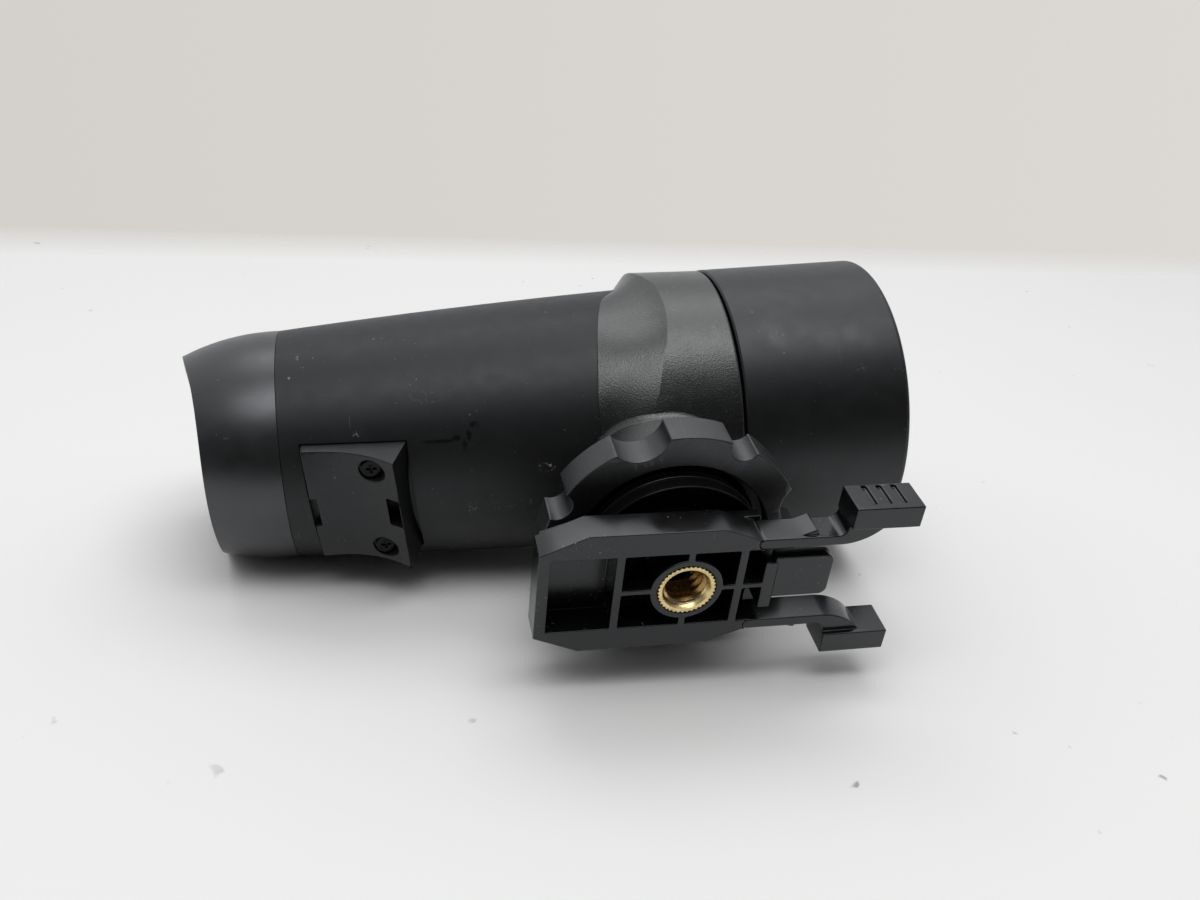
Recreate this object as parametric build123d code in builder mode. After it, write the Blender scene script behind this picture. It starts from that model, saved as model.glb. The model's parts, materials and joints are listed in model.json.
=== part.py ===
from build123d import *

import os
from math import cos, radians, sin

# Compact finder scope lying on its side, in millimetres.
# The origin is the centre of the tripod thread's mouth in the face of the shoe.
# +X runs along the tube towards the objective, -Y is the way the shoe faces, +Z is up.

# Driving dimensions: the tube, measured along X from the swivel axis and out from the tube axis.
AXIS_Y = 42.2
SEAM_X = -51.46
SEAM_REAR_X = SEAM_X - 0.02
SEAM_FRONT_X = SEAM_X + 0.03
REAR_X = -66.4
COLLAR_REAR_X = -6.9
COLLAR_FRONT_X = 13.8
RING_REAR_X = 14.2
RIM_X = 39.4
SEAM_R = 17.2
WAIST_R = 19.0
COLLAR_SEAT_R = 20.16
COLLAR_R = 22.65
RING_R = 22.45
WALL = 2.0

# Driving dimensions: the swivel, measured out from the tube axis along -Y.
BOSS_R = 12.7
BOSS_FOOT_R = 12.0
BOSS_FOOT = 21.5
BOSS_LEAN = 2.1
NECK_R = 12.4
NECK_BORE_R = 10.6
BOSS_TOP = 28.6
NECK_TOP = 31.8
LOCK_RING_R = 18.24
LOCK_RING_BACK = 28.8
LOCK_RING_FRONT = 33.78
HUB_TOP = 36.1
PIVOT_R = 2.0
PIVOT_HEAD_R = 3.2
WASHER_BACK = 19.1
HUB_SCREW_SPREAD = 6.0
HUB_SCREW_R = 0.8
HUB_SCREW_HEAD_R = 1.45
RUN_FIT = 0.08

# Driving dimensions: the shoe, measured along and across it and back from its face.
SHOE_TURN = 3.7
SHOE_LEFT = -19.9
SHOE_NOSE_HALF = 6.9
SHOE_SHOULDER_U = -13.8
SHOE_HALF = 9.7
SHOE_DEPTH = 4.4
SHOE_FLOOR = 1.5
FLANGE_NOSE_HALF = 6.3
FLANGE_HALF = 8.2
CHANNEL_HALF = 6.0
TONGUE_MIDDLE = 1.1
TONGUE_WIDTH = 6.7
ARM_THICKNESS = 1.5
ARM_OUT = 7.7
PAD_PROUD = 0.8
THREAD_MINOR_R = 2.55
INSERT_R = 4.0
INSERT_LENGTH = 5.6

# Driving dimensions: the optics.
LENS_R = 15.0
EYE_LENS_R = 8.5
FOCUS_TRAVEL = 1.0

TUBE = Axis((0, AXIS_Y, 0), (1, 0, 0))
SWIVEL = Axis((0, 0, 0), (0, -1, 0))
TUBE_PROFILE = Plane(origin=(0, AXIS_Y, 0), x_dir=(1, 0, 0), z_dir=(0, 0, 1))
SWIVEL_PROFILE = Plane(origin=(0, AXIS_Y, 0), x_dir=(1, 0, 0), z_dir=(0, 0, -1))
SHOE_ALONG = (cos(radians(SHOE_TURN)), 0, -sin(radians(SHOE_TURN)))
SHOE = Plane(origin=(0, 0, 0), x_dir=SHOE_ALONG, z_dir=(0, -1, 0))

os.makedirs("parts", exist_ok=True)


def station(x):
    """Plane across the tube at x, its own x along +Y and its own y along +Z."""
    return Plane(origin=(x, AXIS_Y, 0), x_dir=(0, 1, 0), z_dir=(1, 0, 0))


def level(height):
    """Plane across the swivel axis at a height out from the tube axis, facing -Y."""
    return Plane(origin=(0, AXIS_Y - height, 0), x_dir=(1, 0, 0), z_dir=(0, -1, 0))


def save(part, name):
    """Label a finished piece and write it as one STEP file."""
    part.label = name
    export_step(part, f"parts/{name}.step")


# ---------------------------------------------------------------- main tube

def tube_core(inset, x_start, x_end):
    """Solid of revolution inside the tapered tube's skin, an inset below it, between two stations."""
    front_r = COLLAR_SEAT_R + 0.5 - inset
    with BuildPart() as core:
        with BuildSketch(TUBE_PROFILE):
            with BuildLine():
                skin = ThreePointArc(
                    (SEAM_X, SEAM_R - inset), (-25, WAIST_R - inset), (1, COLLAR_SEAT_R - inset)
                )
                Polyline(skin @ 1, (COLLAR_FRONT_X, front_r), (COLLAR_FRONT_X, 0), (SEAM_X, 0), skin @ 0)
            make_face()
        revolve(axis=TUBE)
        with BuildSketch(station(x_start)):
            Rectangle(60, 60)
        extrude(amount=x_end - x_start, mode=Mode.INTERSECT)
    return core.part


PLATE_REAR_X = -48.0
PLATE_FRONT_X = -33.7
PLATE_HALF = 9.25
PLATE_GAP = 0.2
PLATE_SINK = 1.2
PLATE_SCREW_X = -38.8
PLATE_SCREW_Z = 6.8
# The ends of the plate and its screws lean a little from square, by this share of the height.
PLATE_LEAN = 3.7
PLATE_SLANT = 0.0647
PLATE_SCREW_SPOTS = [
    (PLATE_SCREW_X - PLATE_SLANT * PLATE_SCREW_Z, PLATE_SCREW_Z),
    (PLATE_SCREW_X + PLATE_SLANT * PLATE_SCREW_Z, -PLATE_SCREW_Z),
]
PLATE_MIDDLE_X = (PLATE_REAR_X + PLATE_FRONT_X) / 2
PLATE_LENGTH = PLATE_FRONT_X - PLATE_REAR_X
POCKET_HALF = PLATE_HALF + PLATE_GAP
POCKET_SLANT = PLATE_SLANT * POCKET_HALF
POCKET_REAR_X = PLATE_REAR_X - PLATE_GAP
POCKET_FRONT_X = PLATE_FRONT_X + PLATE_GAP

with BuildPart() as plate_pocket:
    with BuildSketch(level(10)):
        with BuildLine():
            Polyline(
                (POCKET_REAR_X - POCKET_SLANT, POCKET_HALF),
                (POCKET_FRONT_X - POCKET_SLANT, POCKET_HALF),
                (POCKET_FRONT_X + POCKET_SLANT, -POCKET_HALF),
                (POCKET_REAR_X + POCKET_SLANT, -POCKET_HALF),
                close=True,
            )
        make_face()
    extrude(amount=15)
    add(tube_core(PLATE_SINK, SEAM_X, COLLAR_FRONT_X), mode=Mode.SUBTRACT)

with BuildPart() as body_shell:
    add(tube_core(0, SEAM_FRONT_X, COLLAR_FRONT_X - 0.2))
    add(tube_core(WALL, SEAM_X + 2.4, 4.5), mode=Mode.SUBTRACT)
    with BuildSketch(station(SEAM_X)):
        Circle(10.5)
    extrude(amount=3, mode=Mode.SUBTRACT)
    with BuildSketch(station(4.5)):
        Circle(18.2)
    extrude(amount=COLLAR_FRONT_X, mode=Mode.SUBTRACT)
    with BuildSketch(level(12.6)):
        with Locations(*PLATE_SCREW_SPOTS):
            Circle(2.2)
    extrude(amount=2.4)
    add(plate_pocket.part, mode=Mode.SUBTRACT)
    with BuildSketch(level(12)):
        with Locations(*PLATE_SCREW_SPOTS):
            Circle(0.8)
    extrude(amount=6, mode=Mode.SUBTRACT)
    with BuildSketch(level(15)):
        Circle(3.4)
    extrude(amount=10, mode=Mode.SUBTRACT)
save(body_shell.part, "body_shell")

# Ramped plate: flat across, hollow along, flush with the tube behind and proud in front.
PLATE_SECTIONS = [(-48.0, 17.7, 16.1), (-43.6, 17.7, 16.7), (-39.0, 18.9, 18.6), (-35.7, 21.3, 21.2)]

PLATE_BLANK_HALF = PLATE_HALF + 1.0

with BuildPart() as plate_blank:
    for section_x, crown_h, side_h in PLATE_SECTIONS:
        with BuildSketch(station(section_x)):
            with BuildLine():
                Line((-12, -PLATE_BLANK_HALF), (-12, PLATE_BLANK_HALF))
                Line((-12, PLATE_BLANK_HALF), (-side_h, PLATE_BLANK_HALF))
                ThreePointArc((-side_h, PLATE_BLANK_HALF), (-crown_h, 0), (-side_h, -PLATE_BLANK_HALF))
                Line((-side_h, -PLATE_BLANK_HALF), (-12, -PLATE_BLANK_HALF))
            make_face()
    loft()
    with BuildSketch(Plane.XY.offset(-PLATE_BLANK_HALF)):
        with BuildLine():
            Polyline(
                (-35.75, AXIS_Y - 12),
                (PLATE_FRONT_X, AXIS_Y - 12),
                (PLATE_FRONT_X, AXIS_Y - 16),
                (-35.72, AXIS_Y - 21.2),
                close=True,
            )
        make_face()
    extrude(amount=2 * PLATE_BLANK_HALF)
    with BuildSketch(level(12)):
        with Locations((-36.65, 0)):
            Rectangle(1.7, 4.6)
        with Locations((-47.6, 0)):
            Rectangle(1.0, 4.8)
    extrude(amount=12, mode=Mode.SUBTRACT)

with BuildPart() as wedge_plate:
    add(plate_blank.part.rotate(Axis((PLATE_MIDDLE_X, 0, 0), (0, 1, 0)), -PLATE_LEAN))
    with BuildSketch(level(10)):
        with Locations((PLATE_MIDDLE_X, 0)):
            Rectangle(2 * PLATE_LENGTH, 2 * PLATE_HALF)
    extrude(amount=20, mode=Mode.INTERSECT)
    add(tube_core(PLATE_SINK, SEAM_X, COLLAR_FRONT_X), mode=Mode.SUBTRACT)
    with BuildSketch(level(12)):
        with Locations(*PLATE_SCREW_SPOTS):
            Circle(0.9)
    extrude(amount=12, mode=Mode.SUBTRACT)
    with BuildSketch(level(17.4)):
        with Locations(*PLATE_SCREW_SPOTS):
            Circle(1.75)
    extrude(amount=6, mode=Mode.SUBTRACT)
save(wedge_plate.part, "wedge_plate")

with BuildPart() as wedge_plate_screws:
    with BuildSketch(level(12.8)):
        with Locations(*PLATE_SCREW_SPOTS):
            Circle(0.8)
    extrude(amount=4.6)
    with BuildSketch(level(17.4)):
        with Locations(*PLATE_SCREW_SPOTS):
            Circle(1.4)
    extrude(amount=0.9)
    with BuildSketch(level(17.9)):
        with Locations(*PLATE_SCREW_SPOTS):
            Rectangle(1.4, 0.32)
            Rectangle(0.32, 1.4)
    extrude(amount=1, mode=Mode.SUBTRACT)
save(wedge_plate_screws.part, "wedge_plate_screws")

# ------------------------------------------------- collar, swivel and lock ring

with BuildPart() as collar:
    with BuildSketch(TUBE_PROFILE):
        with BuildLine():
            Line((COLLAR_REAR_X, 15), (COLLAR_REAR_X, 20.05))
            ThreePointArc((COLLAR_REAR_X, 20.05), (-1.0, 21.05), (4.3, COLLAR_R))
            Line((4.3, COLLAR_R), (COLLAR_FRONT_X, RING_R - 0.1))
            Line((COLLAR_FRONT_X, RING_R - 0.1), (COLLAR_FRONT_X, 15))
            Line((COLLAR_FRONT_X, 15), (COLLAR_REAR_X, 15))
        make_face()
    revolve(axis=TUBE)
    # The flare is swept away round the far side, where only a short steep shoulder is left.
    with BuildSketch(Plane.XY.offset(-30)):
        with BuildLine():
            sweep_line = Spline(
                (-7.5, AXIS_Y - 9),
                (-5.0, AXIS_Y - 3),
                (-2.4, AXIS_Y + 2.5),
                (0.6, AXIS_Y + 7),
                (1.6, AXIS_Y + 14),
                (1.6, AXIS_Y + 24),
            )
            Line(sweep_line @ 1, (-8, AXIS_Y + 24))
            Line((-8, AXIS_Y + 24), (-8, AXIS_Y - 9))
            Line((-8, AXIS_Y - 9), sweep_line @ 0)
        make_face()
    extrude(amount=60, mode=Mode.SUBTRACT)
    # The boss narrows and leans forward towards its foot.
    with BuildSketch(level(17)):
        with Locations((BOSS_LEAN, 0)):
            Circle(BOSS_FOOT_R)
    extrude(amount=BOSS_FOOT - 17)
    with BuildSketch(level(BOSS_FOOT)):
        with Locations((BOSS_LEAN, 0)):
            Circle(BOSS_FOOT_R)
    with BuildSketch(level(BOSS_TOP)):
        Circle(BOSS_R)
    loft()
    with BuildSketch(station(COLLAR_FRONT_X)):
        Rectangle(80, 80)
    extrude(amount=3, mode=Mode.SUBTRACT)
    with BuildSketch(level(BOSS_TOP)):
        Circle(NECK_R)
    extrude(amount=NECK_TOP - BOSS_TOP)
    add(tube_core(0, SEAM_X, COLLAR_FRONT_X), mode=Mode.SUBTRACT)
    with BuildSketch(level(24.5)):
        Circle(NECK_BORE_R)
    extrude(amount=10, mode=Mode.SUBTRACT)
    with BuildSketch(level(15)):
        Circle(PIVOT_R + RUN_FIT)
    extrude(amount=12, mode=Mode.SUBTRACT)
    # Four slits turn the end of the neck into a collet.
    with BuildSketch(level(27)):
        for slit_angle in (0, 90):
            Rectangle(2 * NECK_R + 2, 1.0, rotation=slit_angle)
        Circle(NECK_BORE_R - 0.5, mode=Mode.SUBTRACT)
    extrude(amount=NECK_TOP - 27, mode=Mode.SUBTRACT)
save(collar.part, "collar")

with BuildPart() as lock_ring:
    with BuildSketch(level(LOCK_RING_BACK)):
        Circle(LOCK_RING_R)
        with PolarLocations(19.85, 4, start_angle=15):
            Circle(4.15, mode=Mode.SUBTRACT)
        with PolarLocations(18.25, 4, start_angle=60):
            Circle(2.05, mode=Mode.SUBTRACT)
        Circle(NECK_R + RUN_FIT, mode=Mode.SUBTRACT)
    extrude(amount=LOCK_RING_FRONT - LOCK_RING_BACK)
    with BuildSketch(level(31.2)):
        Circle(13.8)
    extrude(amount=5, mode=Mode.SUBTRACT)
save(lock_ring.part, "lock_ring")

with BuildPart() as swivel_hub:
    with BuildSketch(SWIVEL_PROFILE):
        with BuildLine():
            Polyline(
                (PIVOT_R, 24.7),
                (NECK_BORE_R - RUN_FIT, 24.7),
                (NECK_BORE_R - RUN_FIT, NECK_TOP + 0.1),
                (12.3, NECK_TOP + 0.1),
                (12.3, 32.7),
                (11.9, 32.9),
                (12.3, 33.1),
                (12.3, 33.9),
                (11.9, 34.1),
                (12.3, 34.3),
                (12.3, HUB_TOP),
                (12.0, HUB_TOP),
                (12.0, 34.4),
                (7.5, 34.4),
                (7.5, AXIS_Y - SHOE_DEPTH - SHOE_FLOOR),
                (4.6, AXIS_Y - SHOE_DEPTH - SHOE_FLOOR),
                (4.6, 33.4),
                (PIVOT_R, 33.4),
                close=True,
            )
        make_face()
    revolve(axis=SWIVEL)
    with BuildSketch(level(24)):
        with PolarLocations(HUB_SCREW_SPREAD, 4, start_angle=45):
            Circle(HUB_SCREW_R)
    extrude(amount=14, mode=Mode.SUBTRACT)
    with BuildSketch(level(24)):
        with PolarLocations(HUB_SCREW_SPREAD, 4, start_angle=45):
            Circle(HUB_SCREW_HEAD_R + 0.05)
    extrude(amount=4, mode=Mode.SUBTRACT)
save(swivel_hub.part, "swivel_hub")

with BuildPart() as hub_screws:
    with BuildSketch(level(28)):
        with PolarLocations(HUB_SCREW_SPREAD, 4, start_angle=45):
            Circle(HUB_SCREW_R)
    extrude(amount=9.4)
    with BuildSketch(level(26.6)):
        with PolarLocations(HUB_SCREW_SPREAD, 4, start_angle=45):
            Circle(HUB_SCREW_HEAD_R)
    extrude(amount=1.4)
save(hub_screws.part, "hub_screws")

with BuildPart() as pivot_screw:
    with BuildSketch(level(WASHER_BACK - 0.05)):
        Circle(PIVOT_R)
    extrude(amount=HUB_TOP - 3.2 - WASHER_BACK)
    with BuildSketch(level(WASHER_BACK - 1.8)):
        Circle(PIVOT_HEAD_R)
    extrude(amount=1.75)
    with BuildSketch(level(WASHER_BACK - 1.8)):
        RegularPolygon(radius=1.4, side_count=6)
    extrude(amount=1.0, mode=Mode.SUBTRACT)
save(pivot_screw.part, "pivot_screw")

with BuildPart() as pivot_washer:
    with BuildSketch(level(WASHER_BACK)):
        Circle(PIVOT_HEAD_R)
        Circle(PIVOT_R + RUN_FIT, mode=Mode.SUBTRACT)
    extrude(amount=0.6)
save(pivot_washer.part, "pivot_washer")

# ------------------------------------------------------------- shoe and arms

ARM_PIVOT_U = 9.6
ARM_MIDDLE = ARM_OUT - ARM_THICKNESS / 2
KNUCKLE_R = ARM_THICKNESS / 2
SOCKET_R = KNUCKLE_R + 0.06
PAD_START = 20.8
PAD_END = 30.3
PAD_INNER = 9.2
PAD_OUTER = 12.55
PAD_DEPTH = 5.4
ARM_DEPTH = SHOE_DEPTH - 0.1

with BuildPart() as shoe_tray:
    with BuildSketch(SHOE):
        with BuildLine():
            Polyline(
                (SHOE_LEFT, -SHOE_NOSE_HALF),
                (SHOE_LEFT, SHOE_NOSE_HALF),
                (SHOE_SHOULDER_U, SHOE_HALF),
                (4.0, SHOE_HALF),
                (9.0, ARM_OUT),
                (ARM_PIVOT_U, ARM_OUT),
                (ARM_PIVOT_U, -ARM_OUT),
                (9.0, -ARM_OUT),
                (4.0, -SHOE_HALF),
                (SHOE_SHOULDER_U, -SHOE_HALF),
                close=True,
            )
        make_face()
        with Locations((-3, 0)):
            Rectangle(30.7, 2 * CHANNEL_HALF, mode=Mode.SUBTRACT)
    extrude(amount=-SHOE_DEPTH)
    # Floor behind the channel, a little narrower than the flange so that the flange can slide.
    with BuildSketch(SHOE.offset(-SHOE_DEPTH)):
        with BuildLine():
            Polyline(
                (-19.1, -FLANGE_NOSE_HALF),
                (-19.1, FLANGE_NOSE_HALF),
                (SHOE_SHOULDER_U, FLANGE_HALF),
                (10.2, FLANGE_HALF),
                (10.2, -FLANGE_HALF),
                (SHOE_SHOULDER_U, -FLANGE_HALF),
                close=True,
            )
        make_face()
    extrude(amount=-SHOE_FLOOR)
    with BuildSketch(SHOE):
        with Locations((-9.3, 0), (7.1, 0)):
            Rectangle(1.1, 2 * CHANNEL_HALF)
        Rectangle(0.9, 2 * CHANNEL_HALF)
        with Locations((0.9, 0)):
            Rectangle(20.2, 0.75)
        Circle(4.9)
        Circle(INSERT_R, mode=Mode.SUBTRACT)
    extrude(amount=-SHOE_DEPTH)
    with BuildSketch(SHOE):
        with Locations((11.2, -0.1)):
            Rectangle(1.7, 7.7)
        with Locations((10.0, 0)):
            Rectangle(2.0, 0.75)
    extrude(amount=-SHOE_DEPTH)
    with BuildSketch(SHOE.offset(-SHOE_DEPTH)):
        with Locations((11.1, 0)):
            Rectangle(1.8, 8.6)
    extrude(amount=-SHOE_FLOOR)
    with BuildSketch(SHOE.offset(-0.1)):
        with Locations((15.9, TONGUE_MIDDLE)):
            RectangleRounded(7.8, TONGUE_WIDTH, 1.1)
        with Locations((13.1, TONGUE_MIDDLE)):
            Rectangle(2.8, TONGUE_WIDTH)
    extrude(amount=-1.9)
    with BuildSketch(SHOE.offset(-SHOE_DEPTH - SHOE_FLOOR)):
        Circle(INSERT_R)
    extrude(amount=INSERT_LENGTH, mode=Mode.SUBTRACT)
    # Sockets that the knuckles of the two arms turn in.
    with BuildSketch(SHOE):
        with Locations((ARM_PIVOT_U, ARM_MIDDLE), (ARM_PIVOT_U, -ARM_MIDDLE)):
            Circle(SOCKET_R)
    extrude(amount=-SHOE_DEPTH, mode=Mode.SUBTRACT)
    with BuildSketch(SHOE.offset(-SHOE_DEPTH - 0.4)):
        with PolarLocations(HUB_SCREW_SPREAD, 4, start_angle=45 + SHOE_TURN):
            Circle(HUB_SCREW_R)
    extrude(amount=-SHOE_FLOOR, mode=Mode.SUBTRACT)
save(shoe_tray.part, "shoe_tray")

with BuildPart() as tripod_insert:
    with BuildSketch(SHOE):
        Circle(INSERT_R)
        Circle(THREAD_MINOR_R, mode=Mode.SUBTRACT)
    extrude(amount=-INSERT_LENGTH)
save(tripod_insert.part, "tripod_insert")

ARM_IN = ARM_OUT - ARM_THICKNESS


def release_arm(side):
    """Spring arm with its thumb pad; side is 1 for the upper one and -1 for the lower one."""
    with BuildPart() as arm:
        with BuildSketch(SHOE):
            with BuildLine():
                Line((ARM_PIVOT_U, side * ARM_OUT), (19.4, side * ARM_OUT))
                outer_bend = TangentArc(
                    (19.4, side * ARM_OUT), (PAD_START, side * (PAD_INNER - 0.4)), tangent=(1, 0)
                )
                Line(outer_bend @ 1, (PAD_START, side * PAD_OUTER))
                Line((PAD_START, side * PAD_OUTER), (PAD_END, side * PAD_OUTER))
                Line((PAD_END, side * PAD_OUTER), (PAD_END, side * PAD_INNER))
                Line((PAD_END, side * PAD_INNER), (26.2, side * PAD_INNER))
                ThreePointArc(
                    (26.2, side * PAD_INNER), (23.9, side * (ARM_IN + 1.0)), (20.2, side * ARM_IN)
                )
                Line((20.2, side * ARM_IN), (ARM_PIVOT_U, side * ARM_IN))
                Line((ARM_PIVOT_U, side * ARM_IN), (ARM_PIVOT_U, side * ARM_OUT))
            make_face()
            with Locations((ARM_PIVOT_U, side * ARM_MIDDLE)):
                Circle(KNUCKLE_R)
        extrude(amount=-ARM_DEPTH)
        with BuildSketch(SHOE.offset(PAD_PROUD)):
            with Locations(((PAD_START + PAD_END) / 2, side * (PAD_INNER + PAD_OUTER) / 2)):
                Rectangle(PAD_END - PAD_START, PAD_OUTER - PAD_INNER)
        extrude(amount=-PAD_DEPTH)
        with BuildSketch(SHOE.offset(-0.5)):
            with BuildLine():
                Polyline(
                    (14.0, side * (ARM_OUT - 0.2)),
                    (16.3, side * (ARM_OUT + 0.75)),
                    (16.7, side * (ARM_OUT + 0.75)),
                    (17.0, side * (ARM_OUT - 0.2)),
                    close=True,
                )
            make_face()
        extrude(amount=-3.8)
        # Three grip grooves across the pad's outer side.
        with BuildSketch(SHOE.offset(-0.3)):
            with Locations(*[(u, side * PAD_OUTER) for u in (23.5, 25.6, 27.7)]):
                Rectangle(0.8, 0.8)
        extrude(amount=-3.9, mode=Mode.SUBTRACT)
    return arm.part


save(release_arm(1), "release_arm_upper")
save(release_arm(-1), "release_arm_lower")

# ------------------------------------------------------ focus ring and objective

BARREL_R = 18.9
BARREL_BORE_R = 16.6
PIN_X = 24.0
PIN_R = 1.0
PIN_SLOT = 2 * (PIN_R + FOCUS_TRAVEL) + 0.6
HOOD_BORE_R = 20.5
HOOD_BACK_X = 31.0

with BuildPart() as focus_ring:
    with BuildSketch(TUBE_PROFILE):
        with BuildLine():
            Polyline(
                (RING_REAR_X, BARREL_R + RUN_FIT),
                (RING_REAR_X, RING_R - 0.25),
                (RING_REAR_X + 0.25, RING_R),
                (RIM_X - 0.8, RING_R + 0.1),
            )
            RadiusArc((RIM_X - 0.8, RING_R + 0.1), (RIM_X, RING_R - 0.7), 0.8)
            Polyline(
                (RIM_X, RING_R - 0.7),
                (RIM_X, HOOD_BORE_R + 0.3),
                (RIM_X - 0.3, HOOD_BORE_R),
                (HOOD_BACK_X, HOOD_BORE_R),
                (HOOD_BACK_X, BARREL_R + RUN_FIT),
                (RING_REAR_X, BARREL_R + RUN_FIT),
            )
        make_face()
    revolve(axis=TUBE)
    # Groove that the drive pin runs in.
    with BuildSketch(station(PIN_X - PIN_SLOT / 2)):
        Circle(20.6)
    extrude(amount=PIN_SLOT, mode=Mode.SUBTRACT)
save(focus_ring.part, "focus_ring")

with BuildPart() as focus_barrel:
    with BuildSketch(TUBE_PROFILE):
        with BuildLine():
            Polyline(
                (4.5, BARREL_BORE_R),
                (4.5, 18.2),
                (COLLAR_FRONT_X - 0.2, 18.2),
                (COLLAR_FRONT_X - 0.2, BARREL_R),
                (HOOD_BACK_X + 0.08, BARREL_R),
                (HOOD_BACK_X + 0.08, 18.0),
                (33.0, 18.0),
                (33.0, BARREL_BORE_R),
                close=True,
            )
        make_face()
    revolve(axis=TUBE)
    with BuildSketch(Plane(origin=(PIN_X, AXIS_Y, 15), x_dir=(1, 0, 0), z_dir=(0, 0, 1))):
        SlotOverall(PIN_SLOT, 2 * (PIN_R + RUN_FIT))
    extrude(amount=6, mode=Mode.SUBTRACT)
save(focus_barrel.part, "focus_barrel")

with BuildPart() as ring_retainer:
    with BuildSketch(station(HOOD_BACK_X + 0.08)):
        Circle(20.2)
        Circle(18.0, mode=Mode.SUBTRACT)
    extrude(amount=1.6)
save(ring_retainer.part, "ring_retainer")

CROWN_FRONT_X = 30.0
CROWN_BACK_X = 23.0
FLINT_BACK_X = 20.8
CROWN_FRONT_EDGE_X = 27.55
CEMENT_EDGE_X = 25.96
FLINT_EDGE_X = 21.46
CELL_SEAT_X = 21.34


def lens_face(vertex_x, edge_x, edge_r):
    """Half of a spherical lens face, from its vertex out to its edge."""
    return ThreePointArc(
        (vertex_x, 0), (vertex_x + 0.25 * (edge_x - vertex_x), edge_r / 2), (edge_x, edge_r)
    )


def lens(front_x, front_edge_x, back_x, back_edge_x, edge_r):
    """Solid lens from the vertex and the edge station of each of its two faces."""
    with BuildPart() as glass:
        with BuildSketch(TUBE_PROFILE):
            with BuildLine():
                lens_face(front_x, front_edge_x, edge_r)
                Line((front_edge_x, edge_r), (back_edge_x, edge_r))
                lens_face(back_x, back_edge_x, edge_r)
                Line((back_x, 0), (front_x, 0))
            make_face()
        revolve(axis=TUBE)
    return glass.part


objective_crown = lens(CROWN_FRONT_X, CROWN_FRONT_EDGE_X, CROWN_BACK_X, CEMENT_EDGE_X, LENS_R)
save(objective_crown, "objective_crown")
objective_flint = lens(CROWN_BACK_X, CEMENT_EDGE_X, FLINT_BACK_X, FLINT_EDGE_X, LENS_R)
save(objective_flint, "objective_flint")

with BuildPart() as objective_cell:
    with BuildSketch(TUBE_PROFILE):
        with BuildLine():
            Polyline(
                (19.8, 13.8),
                (19.8, BARREL_BORE_R - RUN_FIT),
                (30.6, BARREL_BORE_R - RUN_FIT),
                (30.6, LENS_R),
                (CELL_SEAT_X, LENS_R),
                (CELL_SEAT_X, 13.8),
                close=True,
            )
        make_face()
    revolve(axis=TUBE)
    with BuildSketch(Plane(origin=(PIN_X, AXIS_Y, 15.3), x_dir=(1, 0, 0), z_dir=(0, 0, 1))):
        Circle(PIN_R)
    extrude(amount=4, mode=Mode.SUBTRACT)
save(objective_cell.part, "objective_cell")

with BuildPart() as objective_retaining_ring:
    with BuildSketch(station(27.9)):
        Circle(LENS_R)
        Circle(14.0, mode=Mode.SUBTRACT)
    extrude(amount=1.8)
    with BuildSketch(station(28.9)):
        Rectangle(1.2, 40)
    extrude(amount=2, mode=Mode.SUBTRACT)
save(objective_retaining_ring.part, "objective_retaining_ring")

with BuildPart() as drive_pin:
    with BuildSketch(Plane(origin=(PIN_X, AXIS_Y, 15.3), x_dir=(1, 0, 0), z_dir=(0, 0, 1))):
        Circle(PIN_R)
    extrude(amount=4.9)
save(drive_pin.part, "drive_pin")

# ------------------------------------------------------------------ baffles

for baffle_name, baffle_x, baffle_hole in (("baffle_front", -8.0, 12.0), ("baffle_rear", -27.0, 8.5)):
    with BuildPart() as baffle:
        with BuildSketch(station(baffle_x)):
            Circle(18.6)
            Circle(baffle_hole, mode=Mode.SUBTRACT)
        extrude(amount=0.8)
        add(body_shell.part, mode=Mode.SUBTRACT)
    save(baffle.part, baffle_name)

# ----------------------------------------------------------------- eyepiece

EYE_BARREL_R = 11.5
EYE_BARREL_END_X = -60.0
EYE_SEAT_X = -50.6

with BuildPart() as eyepiece_barrel:
    with BuildSketch(TUBE_PROFILE):
        with BuildLine():
            Polyline(
                (-46.5, 7.8),
                (-46.5, 10.5),
                (SEAM_FRONT_X, 10.5),
                (SEAM_FRONT_X, EYE_BARREL_R),
                (-54.2, EYE_BARREL_R),
                (-54.2, 10.4),
                (-55.5, 10.4),
                (-55.5, EYE_BARREL_R),
                (EYE_BARREL_END_X, EYE_BARREL_R),
                (EYE_BARREL_END_X, EYE_LENS_R),
                (EYE_SEAT_X, EYE_LENS_R),
                (EYE_SEAT_X, 6.8),
                (-48.4, 6.8),
                (-48.4, 7.8),
                close=True,
            )
        make_face()
    revolve(axis=TUBE)
save(eyepiece_barrel.part, "eyepiece_barrel")

with BuildPart() as reticle_glass:
    with BuildSketch(station(-48.4)):
        Circle(7.8)
    extrude(amount=1.2)
save(reticle_glass.part, "reticle_glass")

with BuildPart() as reticle_ring:
    with BuildSketch(station(-47.2)):
        Circle(7.8)
        Circle(6.8, mode=Mode.SUBTRACT)
    extrude(amount=0.7)
save(reticle_ring.part, "reticle_ring")

save(lens(-50.4, -50.75, -53.6, -52.1, EYE_LENS_R), "field_lens")

with BuildPart() as eyepiece_spacer:
    with BuildSketch(station(-55.2)):
        Circle(EYE_LENS_R)
        Circle(7.3, mode=Mode.SUBTRACT)
    extrude(amount=2.6)
save(eyepiece_spacer.part, "eyepiece_spacer")

save(lens(-54.9, -55.9, -58.6, -57.4, EYE_LENS_R), "eye_lens")

with BuildPart() as eye_retaining_ring:
    with BuildSketch(station(-59.7)):
        Circle(EYE_LENS_R)
        Circle(7.4, mode=Mode.SUBTRACT)
    extrude(amount=1.9)
save(eye_retaining_ring.part, "eye_retaining_ring")

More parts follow.
